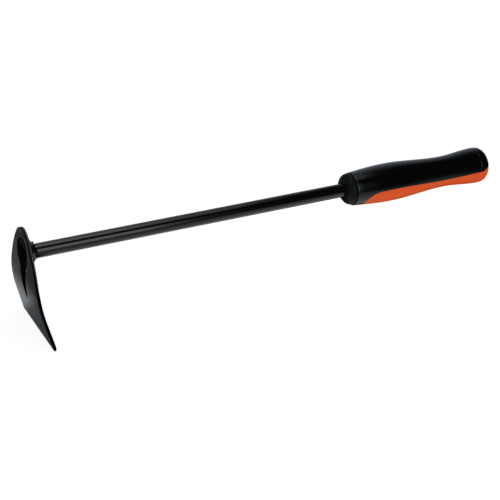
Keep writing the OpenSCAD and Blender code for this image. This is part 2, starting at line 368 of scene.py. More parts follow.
def makeTube(t, b):
    slant = math.radians(b["socketSlope"])
    flare = math.tan(slant)
    wide = b["socketRadius"] - t["seatGap"] / math.cos(slant)
    thin = wide - t["wall"] / math.cos(slant)
    bore = t["radius"] - t["wall"]
    end = noseX + t["inHandle"]
    lipX = bladeX + t["lipSet"]
    outerLip = (lipX, wide - t["lipSet"] * flare)
    innerLip = (lipX, thin - t["lipSet"] * flare)
    outerKnee = (bladeX + (wide - t["radius"]) / flare, t["radius"])
    innerKnee = (bladeX + (thin - bore) / flare, bore)
    profile = roundCorner(innerLip, outerLip, outerKnee, t["lipRound"])
    profile += roundCorner(outerLip, outerKnee, (end, t["radius"]), t["kneeRound"], t["kneeSteps"])
    profile += [(end, t["radius"]), (end, bore)]
    profile += roundCorner((end, bore), innerKnee, innerLip, t["kneeRound"], t["kneeSteps"])
    profile += roundCorner(innerKnee, innerLip, outerLip, t["lipRound"])
    profile.append(profile[0])
    obj = turnProfile("shaftTube", profile, t["steps"])
    closeUp(obj)
    smooth(obj, t["smoothAngle"])
    return obj


shaftTube = makeTube(tube, blade)
print("stage: shaft", len(shaftTube.data.vertices), "vertices")

# Weld metal: beads of drops round the tube, melted together
# A drop is its distance behind the blade's face, its distance off the axis and its radius
# Uneven is an amount and a seed each for a drop's turn, distance off the axis, place along it and size
rearWeldSet = {
    "profile": [(6.8, 5.6), (7.1, 6.9), (8.2, 6.8), (9.2, 6.5), (9.9, 6.1), (9.9, 5.6), (6.8, 5.6)],
    "ringSteps": 48,
    "drops": 13,
    "halfAngle": 140.0,
    "endDrop": (8.6, 6.1, 0.6),
    "topDrop": (9.0, 7.1, 1.1),
    "dropUneven": [(0.04, 0.4), (0.2, 1.3), (0.3, 2.1), (0.15, 3.0)],
    "sideRun": 1.2,
    "sideSwell": 0.35,
    "capDrops": 10,
    "capAngle": 112.0,
    "capDrop": (6.5, 8.6, 1.25),
    "capUneven": [(0.05, 0.7), (0.0, 0.0), (0.2, 1.1), (0.12, 2.3)],
    "voxel": 0.16,
    "meltRounds": 3,
    "smoothAngle": 60.0,
    "unshadedFacing": 0.55,  # least that a face turns upwards to keep the glossy weld paint rather than the painted shade
}
frontWeldSet = {
    "drops": 15,
    "halfAngle": 128.0,
    "drop": (2.0, 11.0, 1.2),
    "dropUneven": [(0.03, 0.9), (0.25, 1.9), (0.15, 2.6), (0.15, 0.2)],
    "lumps": [  # degrees from the top, distance off the axis and radius
        (12, 12.1, 1.2), (-4, 11.6, 1.5), (-20, 11.4, 1.6), (-36, 11.7, 1.4), (-50, 12.3, 1.1),
        (-97, 11.9, 1.1)],
    "lumpX": 0.7,
    "voxel": 0.16,
    "meltRounds": 2,
    "smoothAngle": 60.0,
    "shadeY": 1.0,
}
wobbleWaves = [(0.6, 2.399, 1.0), (0.4, 5.17, 1.7)]  # share, turn per drop and turn per seed


# Uneven values from -1 to 1 that follow from the drop's own number
def wobble(i, seed):
    return sum(share * math.sin(i * turn + seed * lag) for share, turn, lag in wobbleWaves)


def weldDrop(x, r, angle, size):
    deselectAll()
    place = (x, r * math.sin(angle), r * math.cos(angle))
    bpy.ops.mesh.primitive_uv_sphere_add(segments=20, ring_count=12, radius=size * mm,
                                         location=[value * mm for value in place])
    bpy.ops.object.transform_apply(location=True, rotation=True, scale=True)
    return bpy.context.object


# Uneven drops from one side over the top of the tube to the other
def dropRow(count, halfAngle, uneven, dropAt):
    drops = []
    for i in range(count):
        turn, out, run, growth = [amount * wobble(i, seed) for amount, seed in uneven]
        share = 2 * i / (count - 1) - 1
        angle = math.radians(halfAngle) * (share + turn)
        x, r, size = dropAt(share, angle)
        drops.append(weldDrop(bladeX + x + run, r + out, angle, size * (1 + growth)))
    return drops


def meltTogether(name, drops, w):
    deselectAll()
    for drop in drops:
        drop.select_set(True)
    bpy.context.view_layer.objects.active = drops[0]
    bpy.ops.object.join()
    obj = bpy.context.object
    obj.name = name
    obj.data.name = name
    addModifier(obj, "REMESH", mode="VOXEL", voxel_size=w["voxel"] * mm, use_smooth_shade=True)
    addModifier(obj, "SMOOTH", factor=0.5, iterations=w["meltRounds"])
    closeUp(obj)
    smooth(obj, w["smoothAngle"])
    return obj


# A ring in the corner behind the boss, drops that thin out round it, and a row that ran over the boss
def makeRearWeld(w):
    def beadDrop(share, angle):
        high = (1 + math.cos(math.pi * share)) / 2
        x, r, size = [mix(end, top, high) for end, top in zip(w["endDrop"], w["topDrop"])]
        side = math.sin(angle) ** 2
        return x + w["sideRun"] * side, r, size + w["sideSwell"] * side

    ring = turnProfile("weldRing", [(bladeX + x, r) for x, r in w["profile"]], w["ringSteps"])
    closeUp(ring)
    parts = [ring]
    parts += dropRow(w["drops"], w["halfAngle"], w["dropUneven"], beadDrop)
    parts += dropRow(w["capDrops"], w["capAngle"], w["capUneven"], lambda share, angle: w["capDrop"])
    return meltTogether("rearWeldBead", parts, w)


# A bead in the corner of the socket, and lumps that stand on it
def makeFrontWeld(w):
    parts = dropRow(w["drops"], w["halfAngle"], w["dropUneven"], lambda share, angle: w["drop"])
    for degrees, r, size in w["lumps"]:
        parts.append(weldDrop(bladeX + w["lumpX"], r, math.radians(degrees), size))
    return meltTogether("frontWeldBead", parts, w)


rearWeldBead = makeRearWeld(rearWeldSet)
frontWeldBead = makeFrontWeld(frontWeldSet)
print("stage: welds", len(rearWeldBead.data.vertices), len(frontWeldBead.data.vertices), "vertices")

# Handle: a hard core whose nose shows, and two soft grips that meet along a drawn line
handle = {
    "noseLength": 6.5,
    "noseRadius": 14.1,
    "tipRadius": 7.0,
    "noseEdge": 0.5,
    "boreRadius": 6.05,
    "boreDepth": 92.0,
    "boreEdge": 0.4,
    "grooveWidth": 1.0,
    "grooveDepth": 1.2,
    "collarRadius": 14.7,
    "frontRadius": 17.2,
    "frontX": 46.5,
    "waistRadius": 14.0,
    "waistX": 105.0,
    "rearRadius": 16.4,
    "rearX": 142.0,
    "buttPower": 2.9,
    "gripThickness": 2.4,
    "coreDepth": 3.6,
    "gripDrop": 0.4,
    "gripDroop": 0.2,
    "edgeRound": 0.6,
    "lineDrop": 1.0,
    "lineFollow": 0.9,
    "lineButtTurn": 24.0,
    "tongueX": 15.0,
    "tongueLength": 17.0,
    "seamRound": 0.35,
    "seamDepth": 0.3,
    "seamShares": [0.0, 0.14, 0.34, 0.62, 1.0],  # columns across the soft edge
    "seamLimit": 0.3,  # most of a narrow strip's half width that the soft edge takes
    "seamEnd": 0.02,  # radians from the top or bottom where there is no seam
    "poleRadius": 0.01,
    "ringX": 140.3,
    "ringHeight": 0.12,
    "ringWidth": 0.32,
    "ringStep": 0.12,
    "ringSteps": 8,
    "ringLead": 1.2,
    "domeSteps": 16,
    "coreStep": 4.0,
    "coreButtSteps": 10,
    "coreColumns": 112,
    "coreSmooth": 40.0,
    "edgeSteps": 4,
    "frontSteps": 8,
    "tongueSteps": 30,
    "lineSteps": 62,
    "buttSteps": 28,
    "columns": 88,
    "gripSmooth": 50.0,
}


# Where the grips start, as a distance from the nose
def gripStart(h):
    return h["noseLength"] + h["grooveWidth"]


def buttLength(h):
    return handleLength - h["rearX"]


def gripRadius(h, x):
    gripX = gripStart(h)
    if x < h["frontX"]:
        t = math.sin(math.pi / 2 * (x - gripX) / (h["frontX"] - gripX))
        return mix(h["collarRadius"], h["frontRadius"], t)
    if x < h["waistX"]:
        t = (1 - math.cos(math.pi * (x - h["frontX"]) / (h["waistX"] - h["frontX"]))) / 2
        return mix(h["frontRadius"], h["waistRadius"], t)
    t = (1 - math.cos(math.pi * (x - h["waistX"]) / (h["rearX"] - h["waistX"]))) / 2
    ring = h["ringHeight"] * math.exp(-((x - h["ringX"]) / h["ringWidth"]) ** 2)
    return mix(h["waistRadius"], h["rearRadius"], t) + ring


def buttPoints(h, inset, count):
    points = []
    for i in range(1, count + 1):
        a = math.pi / 2 * i / count
        x = h["rearX"] + (buttLength(h) - inset) * math.sin(a) ** (2 / h["buttPower"])
        points.append((x, (h["rearRadius"] - inset) * max(math.cos(a), 0.0)))
    points[-1] = (points[-1][0], 0.0)
    return points


def makeCore(h):
    under = h["coreDepth"]
    gripX = gripStart(h)
    neck = h["noseRadius"] - h["grooveDepth"]
    dome = []
    for i in range(h["domeSteps"] + 1):
        a = math.pi / 2 * i / h["domeSteps"]
        r = mix(h["tipRadius"], h["noseRadius"], math.sin(a))
        dome.append((h["noseLength"] * (1 - math.cos(a)), r))
    profile = [(h["boreDepth"], 0.0), (h["boreDepth"], h["boreRadius"])]
    profile += roundCorner(profile[-1], (0.0, h["boreRadius"]), dome[1], h["boreEdge"])
    profile += dome[1:-1]
    profile += roundCorner(dome[-2], dome[-1], (h["noseLength"], neck), h["noseEdge"])
    profile += [(h["noseLength"], neck), (gripX + h["edgeRound"], neck)]
    x = gripX + 2 * h["edgeRound"]
    while x < h["rearX"]:
        profile.append((x, gripRadius(h, x) - under))
        x += h["coreStep"]
    profile.append((h["rearX"], h["rearRadius"] - under))
    profile += buttPoints(h, under, h["coreButtSteps"])
    obj = turnProfile("handleCore", [(noseX + px, r) for px, r in profile], h["coreColumns"])
    closeUp(obj)
    smooth(obj, h["coreSmooth"])
    return obj


# How far the grip's own axis lies below the shaft axis at a distance from the nose
def sinkAt(h, x):
    return h["gripDrop"] + x * math.tan(math.radians(h["gripDroop"]))


# Height of the colour line over the grip's axis at a distance from the nose, past the tongue's front
def lineHeight(h, x):
    return sinkAt(h, x) - h["lineDrop"] - h["lineFollow"] * (h["frontRadius"] - gripRadius(h, x))


# Each station is its distance from the nose, its radius and the colour line's height there
def gripStations(h):
    gripX = gripStart(h)
    stations = []
    for i in range(h["edgeSteps"] + 1):
        a = math.pi / 2 * i / h["edgeSteps"]
        x = gripX + h["edgeRound"] * (1 - math.cos(a))
        r = gripRadius(h, x) - h["edgeRound"] * (1 - math.sin(a))
        stations.append((x, r, -r))
    for i in range(1, h["frontSteps"] + 1):
        x = mix(gripX + h["edgeRound"], h["tongueX"], i / h["frontSteps"])
        stations.append((x, gripRadius(h, x), -gripRadius(h, x)))
    peakX = h["tongueX"] + h["tongueLength"]
    baseZ = -gripRadius(h, h["tongueX"])
    for i in range(1, h["tongueSteps"] + 1):
        a = math.pi / 2 * i / h["tongueSteps"]
        x = peakX - h["tongueLength"] * math.cos(a)
        stations.append((x, gripRadius(h, x), mix(baseZ, lineHeight(h, peakX), math.sin(a))))
    ringFrom = h["ringX"] - h["ringLead"]
    places = [mix(peakX, ringFrom, i / h["lineSteps"]) for i in range(1, h["lineSteps"] + 1)]
    places += [h["ringX"] + h["ringStep"] * i for i in range(-h["ringSteps"], h["ringSteps"] + 1)]
    places.append(h["rearX"])
    for x in places:
        stations.append((x, gripRadius(h, x), lineHeight(h, x)))
    fromTop = math.acos(lineHeight(h, h["rearX"]) / h["rearRadius"])
    for x, r in buttPoints(h, 0.0, h["buttSteps"]):
        turn = math.radians(h["lineButtTurn"]) * (x - h["rearX"]) / buttLength(h)
        stations.append((x, r, r * math.cos(fromTop - turn)))
    return stations


# Lays the columns of one half-turned grip over its side of the colour line, with a soft edge
def fitToLine(h, obj, stations, upper):
    edge = h["seamShares"]
    columns = h["columns"]
    for vertex in obj.data.vertices:
        x = vertex.co.x / mm - noseX
        r, z = min(stations, key=lambda s: abs(s[0] - x))[1:]
        if r < h["poleRadius"]:
            continue
        column = round(abs(math.atan2(vertex.co.y, vertex.co.z)) / math.pi * columns)
        fromTop = math.acos(max(min(z / r, 1.0), -1.0))
        half = fromTop if upper else math.pi - fromTop
        soft = min(h["seamRound"], h["seamLimit"] * half * r)
        fromEdge = min(column, columns - column)
        drop = 0.0
        if fromEdge < len(edge):
            along = half * r - soft * edge[fromEdge]
            if h["seamEnd"] < fromTop < math.pi - h["seamEnd"]:
                bend = 1 - edge[fromEdge]
                drop = h["seamDepth"] * (1 - math.sqrt(1 - bend * bend)) * soft / h["seamRound"]
        else:
            share = (fromEdge - len(edge) + 1) / (columns / 2 - len(edge) + 1)
            along = (half * r - soft) * (1 - share)
        turn = along / r * (1 if column >= columns / 2 else -1)
        if not upper:
            turn = math.pi - turn
        vertex.co.y = (r - drop) * math.sin(turn) * mm
        vertex.co.z = (r - drop) * math.cos(turn) * mm


def makeGrip(h, name, upper):
    stations = gripStations(h)
    if not upper:
        stations = [s for s in stations if s[0] > h["tongueX"] - mergeReach]
    profile = [(noseX + x, r) for x, r, z in stations]
    obj = turnProfile(name, profile, h["columns"], 180.0)
    fitToLine(h, obj, stations, upper)
    closeUp(obj)
    addModifier(obj, "SOLIDIFY", thickness=h["gripThickness"] * mm, offset=-1.0, use_even_offset=False)
    obj.location.z = -sinkAt(h, -noseX) * mm
    obj.rotation_euler.y = math.radians(h["gripDroop"])
    pick(obj)
    bpy.ops.object.transform_apply(location=True, rotation=True)
    smooth(obj, h["gripSmooth"])
    return obj


handleCore = makeCore(handle)
upperGrip = makeGrip(handle, "upperGrip", True)
lowerGrip = makeGrip(handle, "lowerGrip", False)
for piece in (handleCore, upperGrip, lowerGrip):
    print("stage: handle", piece.name, len(piece.data.vertices), "vertices")


# The three coordinates by themselves
def axesOf(tree, coords):
    split = tree.nodes.new("ShaderNodeSeparateXYZ")
    tree.links.new(coords, split.inputs[0])
    return [split.outputs[axis] for axis in "XYZ"]


# Runs smoothly from one level to the other between two values
def slope(tree, value, start, end, low, high):
    node = tree.nodes.new("ShaderNodeMapRange")
    node.interpolation_type = "SMOOTHSTEP"
    for label, number in zip(("From Min", "From Max", "To Min", "To Max"), (start, end, low, high)):
        node.inputs[label].default_value = number
    tree.links.new(value, node.inputs["Value"])
    return node.outputs["Result"]


def combine(tree, operation, a, b):
    node = tree.nodes.new("ShaderNodeMath")
    node.operation = operation
    tree.links.new(a, node.inputs[0])
    tree.links.new(b, node.inputs[1])
    return node.outputs[0]


# Shared effect that starts from a noise over the surface, with the noise and the way out
def noiseGroup(name, detail, roughness, output):
    group = bpy.data.node_groups.new(name, "ShaderNodeTree")
    group.interface.new_socket("Vector", in_out="INPUT", socket_type="NodeSocketVector")
    group.interface.new_socket("Scale", in_out="INPUT", socket_type="NodeSocketFloat")
    group.interface.new_socket(output, in_out="OUTPUT", socket_type="NodeSocketFloat")
    inside = group.nodes.new("NodeGroupInput")
    outside = group.nodes.new("NodeGroupOutput")
    noise = group.nodes.new("ShaderNodeTexNoise")
    noise.inputs["Detail"].default_value = detail
    noise.inputs["Roughness"].default_value = roughness
    for label in ("Vector", "Scale"):
        group.links.new(inside.outputs[label], noise.inputs[label])
    return group, noise.outputs["Fac"], outside.inputs[output]


# Fine unevenness of a moulded or sprayed surface, as a height
def grainGroup():
    group, noise, wayOut = noiseGroup("fineGrain", 3.0, 0.55, "Height")
    group.links.new(noise, wayOut)
    return group


# Broad patches left by handling and by the spray, as a mask from 0 to 1
def patchGroup():
    group, noise, wayOut = noiseGroup("handlingPatches", 5.0, 0.6, "Mask")
    ramp = group.nodes.new("ShaderNodeMapRange")
    ramp.inputs["From Min"].default_value = 0.32
    ramp.inputs["From Max"].default_value = 0.68
    group.links.new(noise, ramp.inputs["Value"])
    group.links.new(ramp.outputs["Result"], wayOut)
    return group


fineGrain = grainGroup()
handlingPatches = patchGroup()


def placeGroup(material, group, coords, **values):
    node = material.node_tree.nodes.new("ShaderNodeGroup")
    node.node_tree = group
    for label, value in values.items():
        node.inputs[label].default_value = value
    material.node_tree.links.new(coords, node.inputs["Vector"])
    return node


# Roughness that rises along X to the given level
def softerEnd(tree, coords, roughness, start, end, level):
    x = axesOf(tree, coords)[0]
    return combine(tree, "MAXIMUM", roughness, slope(tree, x, start * mm, end * mm, 0.0, level))


# One finish: two close colours, a roughness range, and a fine bump
def makeFinish(name, f):
    material = bpy.data.materials.new(name)
    material.use_nodes = True
    tree = material.node_tree
    shader = tree.nodes["Principled BSDF"]
    coords = tree.nodes.new("ShaderNodeTexCoord").outputs["Object"]
    patches = placeGroup(material, handlingPatches, coords, Scale=f["patchScale"])
    grain = placeGroup(material, fineGrain, coords, Scale=f["grainScale"])
    tint = tree.nodes.new("ShaderNodeMix")
    tint.data_type = "RGBA"
    tint.inputs["A"].default_value = (*f["colour"], 1)
    tint.inputs["B"].default_value = (*f["colourPatch"], 1)
    tree.links.new(patches.outputs["Mask"], tint.inputs["Factor"])
    tree.links.new(tint.outputs["Result"], shader.inputs["Base Color"])
    rough = tree.nodes.new("ShaderNodeMapRange")
    rough.inputs["To Min"].default_value = f["rough"]
    rough.inputs["To Max"].default_value = f["roughPatch"]
    tree.links.new(patches.outputs["Mask"], rough.inputs["Value"])
    roughness = rough.outputs["Result"]
    if "softEnd" in f:
        roughness = softerEnd(tree, coords, roughness, *f["softEnd"])
    tree.links.new(roughness, shader.inputs["Roughness"])
    bump = tree.nodes.new("ShaderNodeBump")
    bump.inputs["Strength"].default_value = f["bump"]
    bump.inputs["Distance"].default_value = f["bumpHeight"] * mm
    tree.links.new(grain.outputs["Height"], bump.inputs["Height"])
    tree.links.new(bump.outputs["Normal"], shader.inputs["Normal"])
    shader.inputs["Specular IOR Level"].default_value = f["specular"]
    # A tint on the reflections themselves, for finishes that give one, paints a colour onto reflected
    # light
    shader.inputs["Specular Tint"].default_value = (*f.get("reflectionTint", (1, 1, 1)), 1)
    return material


finishes = {
    "bladePaint": {
        "colour": (0.002, 0.002, 0.0023), "colourPatch": (0.003, 0.003, 0.0034), "patchScale": 60.0,
        "rough": 0.09, "roughPatch": 0.11, "grainScale": 1500.0, "bump": 0.06, "bumpHeight": 0.02,
        "specular": 0.4},
    "shaftPaint": {
        "colour": (0.0007, 0.0007, 0.0007), "colourPatch": (0.001, 0.001, 0.001), "patchScale": 50.0,
        "rough": 0.14, "roughPatch": 0.16, "grainScale": 900.0, "bump": 0.12, "bumpHeight": 0.03,
        "specular": 0.5},
    "weldPaint": {
        "colour": (0.0007, 0.0007, 0.0007), "colourPatch": (0.001, 0.001, 0.0011), "patchScale": 400.0,
        "rough": 0.15, "roughPatch": 0.2, "grainScale": 2200.0, "bump": 0.1, "bumpHeight": 0.04,
        "specular": 0.16},
    # The nose's reflections get a bluish specular tint, a colour painted onto reflected light
    "nosePlastic": {
        "colour": (0.0006, 0.0009, 0.001), "colourPatch": (0.0009, 0.0012, 0.0014), "patchScale": 90.0,
        "rough": 0.42, "roughPatch": 0.48, "grainScale": 2600.0, "bump": 0.25, "bumpHeight": 0.05,
        "specular": 0.16, "reflectionTint": (0.76, 0.93, 1.0)},
    "gripBlack": {
        "colour": (0.0005, 0.0006, 0.0007), "colourPatch": (0.0007, 0.0008, 0.0009), "patchScale": 70.0,
        "rough": 0.14, "roughPatch": 0.17, "grainScale": 2200.0, "bump": 0.1, "bumpHeight": 0.05,
        "specular": 0.45, "softEnd": (-58.0, -66.0, 0.22)},
    # Near-black finish that hardly reflects, laid on the socket, the tail, the tube's mouth and the
    # weld's hidden parts as painted shade; on the cut edge it is partly a duller sheared edge and partly
    # a painted dark reflection
    "paintedShadeBlack": {
        "colour": (0.0004, 0.0004, 0.0004), "colourPatch": (0.0008, 0.0008, 0.0009), "patchScale": 200.0,
        "rough": 0.4, "roughPatch": 0.5, "grainScale": 1800.0, "bump": 0.2, "bumpHeight": 0.05,
        "specular": 0.02},
    "tornEdge": {
        "colour": (0.002, 0.002, 0.0022), "colourPatch": (0.003, 0.003, 0.0033), "patchScale": 300.0,
        "rough": 0.38, "roughPatch": 0.46, "grainScale": 2400.0, "bump": 0.15, "bumpHeight": 0.04,
        "specular": 0.9},
    "gripOrange": {
        "colour": (0.69, 0.08, 0.007), "colourPatch": (0.66, 0.076, 0.006), "patchScale": 70.0,
        "rough": 0.42, "roughPatch": 0.5, "grainScale": 2200.0, "bump": 0.15, "bumpHeight": 0.06,
        "specular": 0.15},
}
materials = {name: makeFinish(name, f) for name, f in finishes.items()}
print("stage: finishes", len(materials))

dressing = [
    (bladePlate, "blade", "bladePaint", "blade_steel"),
    (shaftTube, "shaft", "shaftPaint", "shaft_paint"),
    (rearWeldBead, "rear_weld", "weldPaint", "weld_paint"),
    (frontWeldBead, "front_weld", "weldPaint", "weld_paint"),
    (handleCore, "handle_core", "nosePlastic", "core_plastic"),
    (upperGrip, "upper_grip", "gripBlack", "grip_black"),
    (lowerGrip, "lower_grip", "gripOrange", "grip_orange"),
]
for piece, nodeName, finish, slotName in dressing:
    piece.data.materials.clear()
    piece.data.materials.append(materials[finish])
    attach(piece, "root")
    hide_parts(nodeName)
print("stage: pieces placed", len(dressing))


# Gives the faces that pass a test a finish of their own
def refinish(obj, finish, test):
    slot = len(obj.data.materials)
    obj.data.materials.append(materials[finish])
    count = 0
    for face in obj.data.polygons:
        if test(face.center / mm, face.normal):
            face.material_index = slot
            count += 1
    return count


def behindFace(at):
    return at.x - bladeX - faceDepth(blade, at.z)


def isOnCutEdge(at, normal):
    return abs(normal.x) < blade["edgeFacing"] and math.hypot(at.y, at.z) > blade["innerReach"]


# The back strip of the cut edge, where the sheet tore instead of being cut
def isTornOnBlade(at, normal):
    inStrip = behindFace(at) >= splitAt(blade, at.z) and at.z >= blade["stripEnd"]
    return inStrip and isOnCutEdge(at, normal)


# The sunken socket and tail, and all the rest of the cut edge, which get the painted shade
def isShadedOnBlade(at, normal):
    inSocket = math.hypot(at.y, at.z) < blade["innerReach"]
    inTail = abs(at.y) < blade["tailHalfWidth"] and at.z < 0
    isSunken = normal.x < blade["shadeFacing"] and behindFace(at) > blade["shadeFrom"]
    if isSunken and (inSocket or inTail):
        return True
    return isOnCutEdge(at, normal) and not isTornOnBlade(at, normal)


# The inside of the tube, its flared mouth too, which get the painted shade
def isShadedOnTube(at, normal):
    return normal.y * at.y + normal.z * at.z < 0


# The part of the front bead that lies down in the socket, and its far side, which get the painted shade
def isShadedOnWeld(at, normal):
    return at.x - bladeX > frontWeldSet["lumpX"] or at.y > frontWeldSet["shadeY"]


# All of the rear bead but its top gets painted shade; the top keeps the glossy weld paint
def isShadedOnRearWeld(at, normal):
    return normal.z < rearWeldSet["unshadedFacing"]


# Faces that take a second finish: painted shade in the socket, tail, tube mouth and welds, and the torn
# back strip of the cut edge
refinished = [
    (bladePlate, "paintedShadeBlack", isShadedOnBlade),
    (bladePlate, "tornEdge", isTornOnBlade),
    (shaftTube, "paintedShadeBlack", isShadedOnTube),
    (frontWeldBead, "paintedShadeBlack", isShadedOnWeld),
    (rearWeldBead, "paintedShadeBlack", isShadedOnRearWeld),
]
for piece, finish, test in refinished:
    print("stage: refinished", piece.name, finish, refinish(piece, finish, test), "faces")

# Studio: pale floor, soft lamps, surroundings that are white up to a little above the horizon
studio = {
    "floorSize": 60.0,
    "floorColour": (0.86, 0.86, 0.86),
    "floorGlow": 1.08,
    "floorGlowShare": 0.84,
    "ambient": 0.8,
    "whiteUpTo": 0.24,
    "darkFrom": 0.44,
    "darkLevel": 0.02,
}
floorZ = -blade["drop"]  # level with the cutting edge


# 1 for what the camera sees straight on, in a reflection or through glass, else 0
def seenDirectly(tree):
    path = tree.nodes.new("ShaderNodeLightPath")
    seen = combine(tree, "MAXIMUM", path.outputs["Is Camera Ray"], path.outputs["Is Glossy Ray"])
    return combine(tree, "MAXIMUM", seen, path.outputs["Is Transmission Ray"])


def blendShaders(tree, share, first, second, output):
    blend = tree.nodes.new("ShaderNodeMixShader")
    tree.links.new(share, blend.inputs["Fac"])
    tree.links.new(first.outputs[0], blend.inputs[1])
    tree.links.new(second.outputs[0], blend.inputs[2])
    tree.links.new(blend.outputs[0], tree.nodes[output].inputs["Surface"])


def turnTo(obj, place, aim):
    toward = Vector(aim) - Vector(place)
    obj.rotation_euler = toward.to_track_quat("-Z", "Y").to_euler()


def makeFloor(s):
    deselectAll()
    bpy.ops.mesh.primitive_plane_add(size=s["floorSize"], location=(0, 0, floorZ * mm))
    bpy.ops.object.transform_apply(location=True)
    floor = bpy.context.object
    floor.name = "paleFloor"
    material = bpy.data.materials.new("paleFloor")
    material.use_nodes = True
    tree = material.node_tree
    tree.nodes.remove(tree.nodes["Principled BSDF"])
    plain = tree.nodes.new("ShaderNodeBsdfDiffuse")
    plain.inputs["Color"].default_value = (*s["floorColour"], 1)
    glow = tree.nodes.new("ShaderNodeEmission")
    glow.inputs["Strength"].default_value = s["floorGlow"]
    seen = tree.nodes.new("ShaderNodeMath")
    seen.operation = "MULTIPLY"
    seen.inputs[1].default_value = s["floorGlowShare"]
    tree.links.new(seenDirectly(tree), seen.inputs[0])
    blendShaders(tree, seen.outputs[0], plain, glow, "Material Output")
    floor.data.materials.append(material)


def makeWorld(s):
    world = bpy.data.worlds.new("studio")
    bpy.context.scene.world = world
    world.use_nodes = True
    tree = world.node_tree
    ambient = tree.nodes["Background"]
    ambient.inputs["Strength"].default_value = s["ambient"]
    around = tree.nodes.new("ShaderNodeBackground")
    for light in (ambient, around):
        light.inputs["Color"].default_value = (1, 1, 1, 1)
    coords = tree.nodes.new("ShaderNodeTexCoord")
    height = axesOf(tree, coords.outputs["Generated"])[2]
    level = slope(tree, height, s["whiteUpTo"], s["darkFrom"], 1.0, s["darkLevel"])
    tree.links.new(level, around.inputs["Strength"])
    blendShaders(tree, seenDirectly(tree), ambient, around, "World Output")


lamps = {
    "frontSoft": {
        "place": (0.02, -1.1, 0.42), "aim": (0.02, 0.0, 0.0), "size": (0.44, 0.84), "glow": 1.65,
        "colour": (0.95, 0.985, 1.0)},
    "overheadSoft": {
        "place": (0.1, 0.13, 1.15), "aim": (0.1, 0.0, 0.0), "size": (0.6, 0.93), "glow": 0.6,
        "colour": (1.0, 0.97, 0.93)},
    "overheadSecond": {
        "place": (-0.015, 0.13, 1.14), "aim": (-0.015, 0.0, 0.0), "size": (0.37, 0.93), "glow": 0.6,
        "colour": (1.0, 0.97, 0.93)},
}
lampWatts = 4.0  # for each square metre of a lamp whose face glows at 1


def makeLamp(name, setup):
    data = bpy.data.lights.new(name, "AREA")
    data.shape = "RECTANGLE"
    width, height = setup["size"]
    data.size = width
    data.size_y = height
    data.energy = setup["glow"] * lampWatts * width * height
    data.color = setup["colour"]
    lamp = bpy.data.objects.new(name, data)
    bpy.context.scene.collection.objects.link(lamp)
    lamp.location = setup["place"]
    turnTo(lamp, setup["place"], setup["aim"])


# Tent that only reflections show: a floor with light and dark bands, and a dome brighter on its far side
# Its lift is in mm and its places are in metres, and a list of pairs gives the level at each place
# Two places under X, Y or Z are where a glow starts and where it is full
tent = {
    "radius": 3.0,
    "lift": 0.4,
    "shaftSide": [
        (-1.2, 0.02), (-0.5, 0.36), (-0.27, 0.5), (-0.13, 0.7), (-0.04, 0.95), (-0.01, 0.9),
        (0.005, 0.05)],
    "shaftSkew": 0.25,
    "shaftFade": (-0.06, 0.27, 1.0, 0.15),  # start, end and the level at each
    "fadeSkew": -0.3,
    "bladeSide": [
        (-0.075, 0.5), (-0.05, 0.06), (0.0, 0.085), (0.03, 0.12), (0.1, 0.13), (0.125, 0.185),
        (0.185, 0.185), (0.2, 0.175)],
    "bladeLean": [(0.095, 0.075), (0.107, 0.09), (0.125, 0.15), (0.14, 0.3)],
    "leanFrom": (3.1, 0.405),  # share of x, and how far ahead of the origin it turns
    "bladeEnds": (-0.343, -0.328),
    "bladeSlant": 0.15,
    "patch": 0.3,
    "patchX": (-0.395, -0.362),
    "patchY": (0.028, 0.053),
    "line": -0.12,
    "lineAcross": (0.609, 0.614, 0.621, 0.626),  # starts, is full, fades and ends
    "lineSkew": -1.0,
    "rimGlow": 0.3,
    "rimX": (-0.37, -0.355, -0.3, -0.28),
    "rimY": (0.1, 0.12),
    "frontGlow": 0.8,
    "frontX": (-0.46, -0.56),
    "backGlow": 0.5,
    "backX": (-0.28, -0.2),
    "backY": (0.16, 0.24),
    "bladeTint": (0.94, 0.965, 1.0),
    "nearTint": (0.8, 0.93, 1.0),
    "nearY": (-0.1, -0.22),
    "nearBladeY": (0.08, 0.0),
    "farTint": (0.72, 0.77, 1.0),
    "farY": (0.18, 0.2),
    "domeSide": [(-0.6, 0.004), (0.3, 0.02), (0.8, 0.18), (1.7, 0.48), (2.6, 0.7)],
    "domeSkew": -0.3,
    "farLeft": (-0.5, 0.4, 0.03, 1.0),  # start, end and the level at each
    "leftGlow": 0.5,
    "leftX": (-0.1, -1.0),
    "gapGlow": 0.4,
    "gapX": (0.42, 0.3),
    "gapY": (0.6, 0.0),
    "cornerGlow": 0.8,
    "cornerX": (-0.8, -1.6),
    "cornerZ": (0.9, 1.6),
    "leftTint": (0.86, 0.96, 1.0),
    "domeTint": (0.76, 0.85, 1.0),
    "domeY": (0.0, 1.0),
}


def makeTent(c):
    floorTop = (floorZ + c["lift"]) * mm
    deselectAll()
    bpy.ops.mesh.primitive_uv_sphere_add(segments=96, ring_count=48, radius=c["radius"])
    obj = bpy.context.object
    obj.name = "reflectionTent"
    bpy.ops.object.mode_set(mode="EDIT")
    bpy.ops.mesh.select_all(action="SELECT")
    bpy.ops.mesh.bisect(plane_co=(0, 0, floorTop), plane_no=(0, 0, 1), use_fill=True, clear_inner=True)
    bpy.ops.object.mode_set(mode="OBJECT")
    for face in obj.data.polygons:
        face.material_index = 0 if face.center.z < floorTop + mm else 1
    obj.data.materials.append(tentFloor(c))
    obj.data.materials.append(tentDome(c))
    obj.visible_camera = False
    obj.visible_diffuse = False
    obj.visible_shadow = False
    obj.visible_transmission = False


